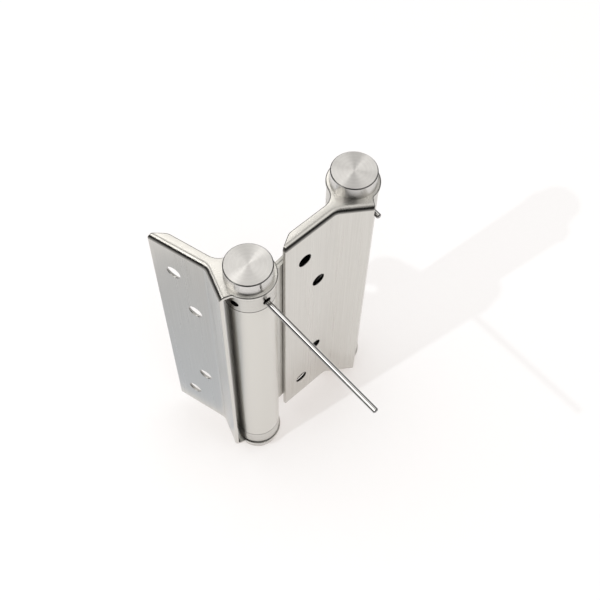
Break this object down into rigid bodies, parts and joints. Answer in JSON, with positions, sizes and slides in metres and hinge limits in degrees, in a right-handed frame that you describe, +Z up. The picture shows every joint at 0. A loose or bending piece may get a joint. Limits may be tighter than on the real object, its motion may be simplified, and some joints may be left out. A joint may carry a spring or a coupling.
{
  "type": "double action cafe hinge",
  "caption": "Double action spring hinge for a light swinging door: eared sheet leaves on sprung barrels joined by a web, drilled tension collars, locking pin and loose winding bar.",
  "frame": {"origin": "middle of the jamb leaf's mounting face", "axes": "+X along the jamb leaf to its free edge, +Y out of its mounting face, +Z up along the barrels"},
  "size_m": [0.0958, 0.0791, 0.136],
  "materials": {
    "leaf_sheet": "brushed upright",
    "barrel_sheet": "brushed upright",
    "turned_steel": "turned",
    "cap_steel": "turned, faced",
    "washer_steel": "plain",
    "spring_wire": "drawn wire",
    "bright_bar": "bright"
  },
  "bodies": {
    "jamb_side": {"jamb_leaf": "leaf_sheet", "jamb_spindle": "turned_steel", "jamb_top_cap": "cap_steel", "jamb_bottom_cap": "cap_steel", "jamb_top_washer": "washer_steel", "jamb_bottom_washer": "washer_steel"},
    "centre": {"barrel_web": "barrel_sheet", "jamb_lower_plug": "turned_steel", "jamb_plug_pin": "turned_steel", "jamb_spring": "spring_wire", "door_lower_plug": "turned_steel", "door_plug_pin": "turned_steel", "door_spring": "spring_wire"},
    "jamb_winder": {"jamb_tension_collar": "turned_steel", "tommy_bar": "bright_bar"},
    "door_side": {"door_leaf": "leaf_sheet", "door_spindle": "turned_steel", "door_top_cap": "cap_steel", "door_bottom_cap": "cap_steel", "door_top_washer": "washer_steel", "door_bottom_washer": "washer_steel"},
    "door_winder": {"door_tension_collar": "turned_steel", "locking_pin": "bright_bar"}
  },
  "joints": [
    {"name": "centre_swing", "type": "hinge", "parent": "jamb_side", "child": "centre", "pos_m": [-0.0253, -0.0058, 0], "axis": [0, 0, -1], "range_deg": [-99.6, 70]},
    {"name": "door_swing", "type": "hinge", "parent": "centre", "child": "door_side", "pos_m": [-0.03463, -0.05716, 0], "axis": [0, 0, 1], "range_deg": [0, 175], "stiffness_Nm_per_rad": 0.5, "springref_deg": -114.59, "deforming": ["door_spring"]},
    {"name": "jamb_collar_wind", "type": "hinge", "parent": "centre", "child": "jamb_winder", "pos_m": [-0.0253, -0.0058, 0], "axis": [0, 0, 1], "range_deg": [0, 45], "stiffness_Nm_per_rad": 0.5, "deforming": ["jamb_spring"]},
    {"name": "door_collar_wind", "type": "hinge", "parent": "door_side", "child": "door_winder", "pos_m": [-0.03463, -0.05716, 0], "axis": [0, 0, 1], "range_deg": [0, 60], "stiffness_Nm_per_rad": 0.5, "springref_deg": -114.59, "deforming": ["door_spring"]}
  ]
}
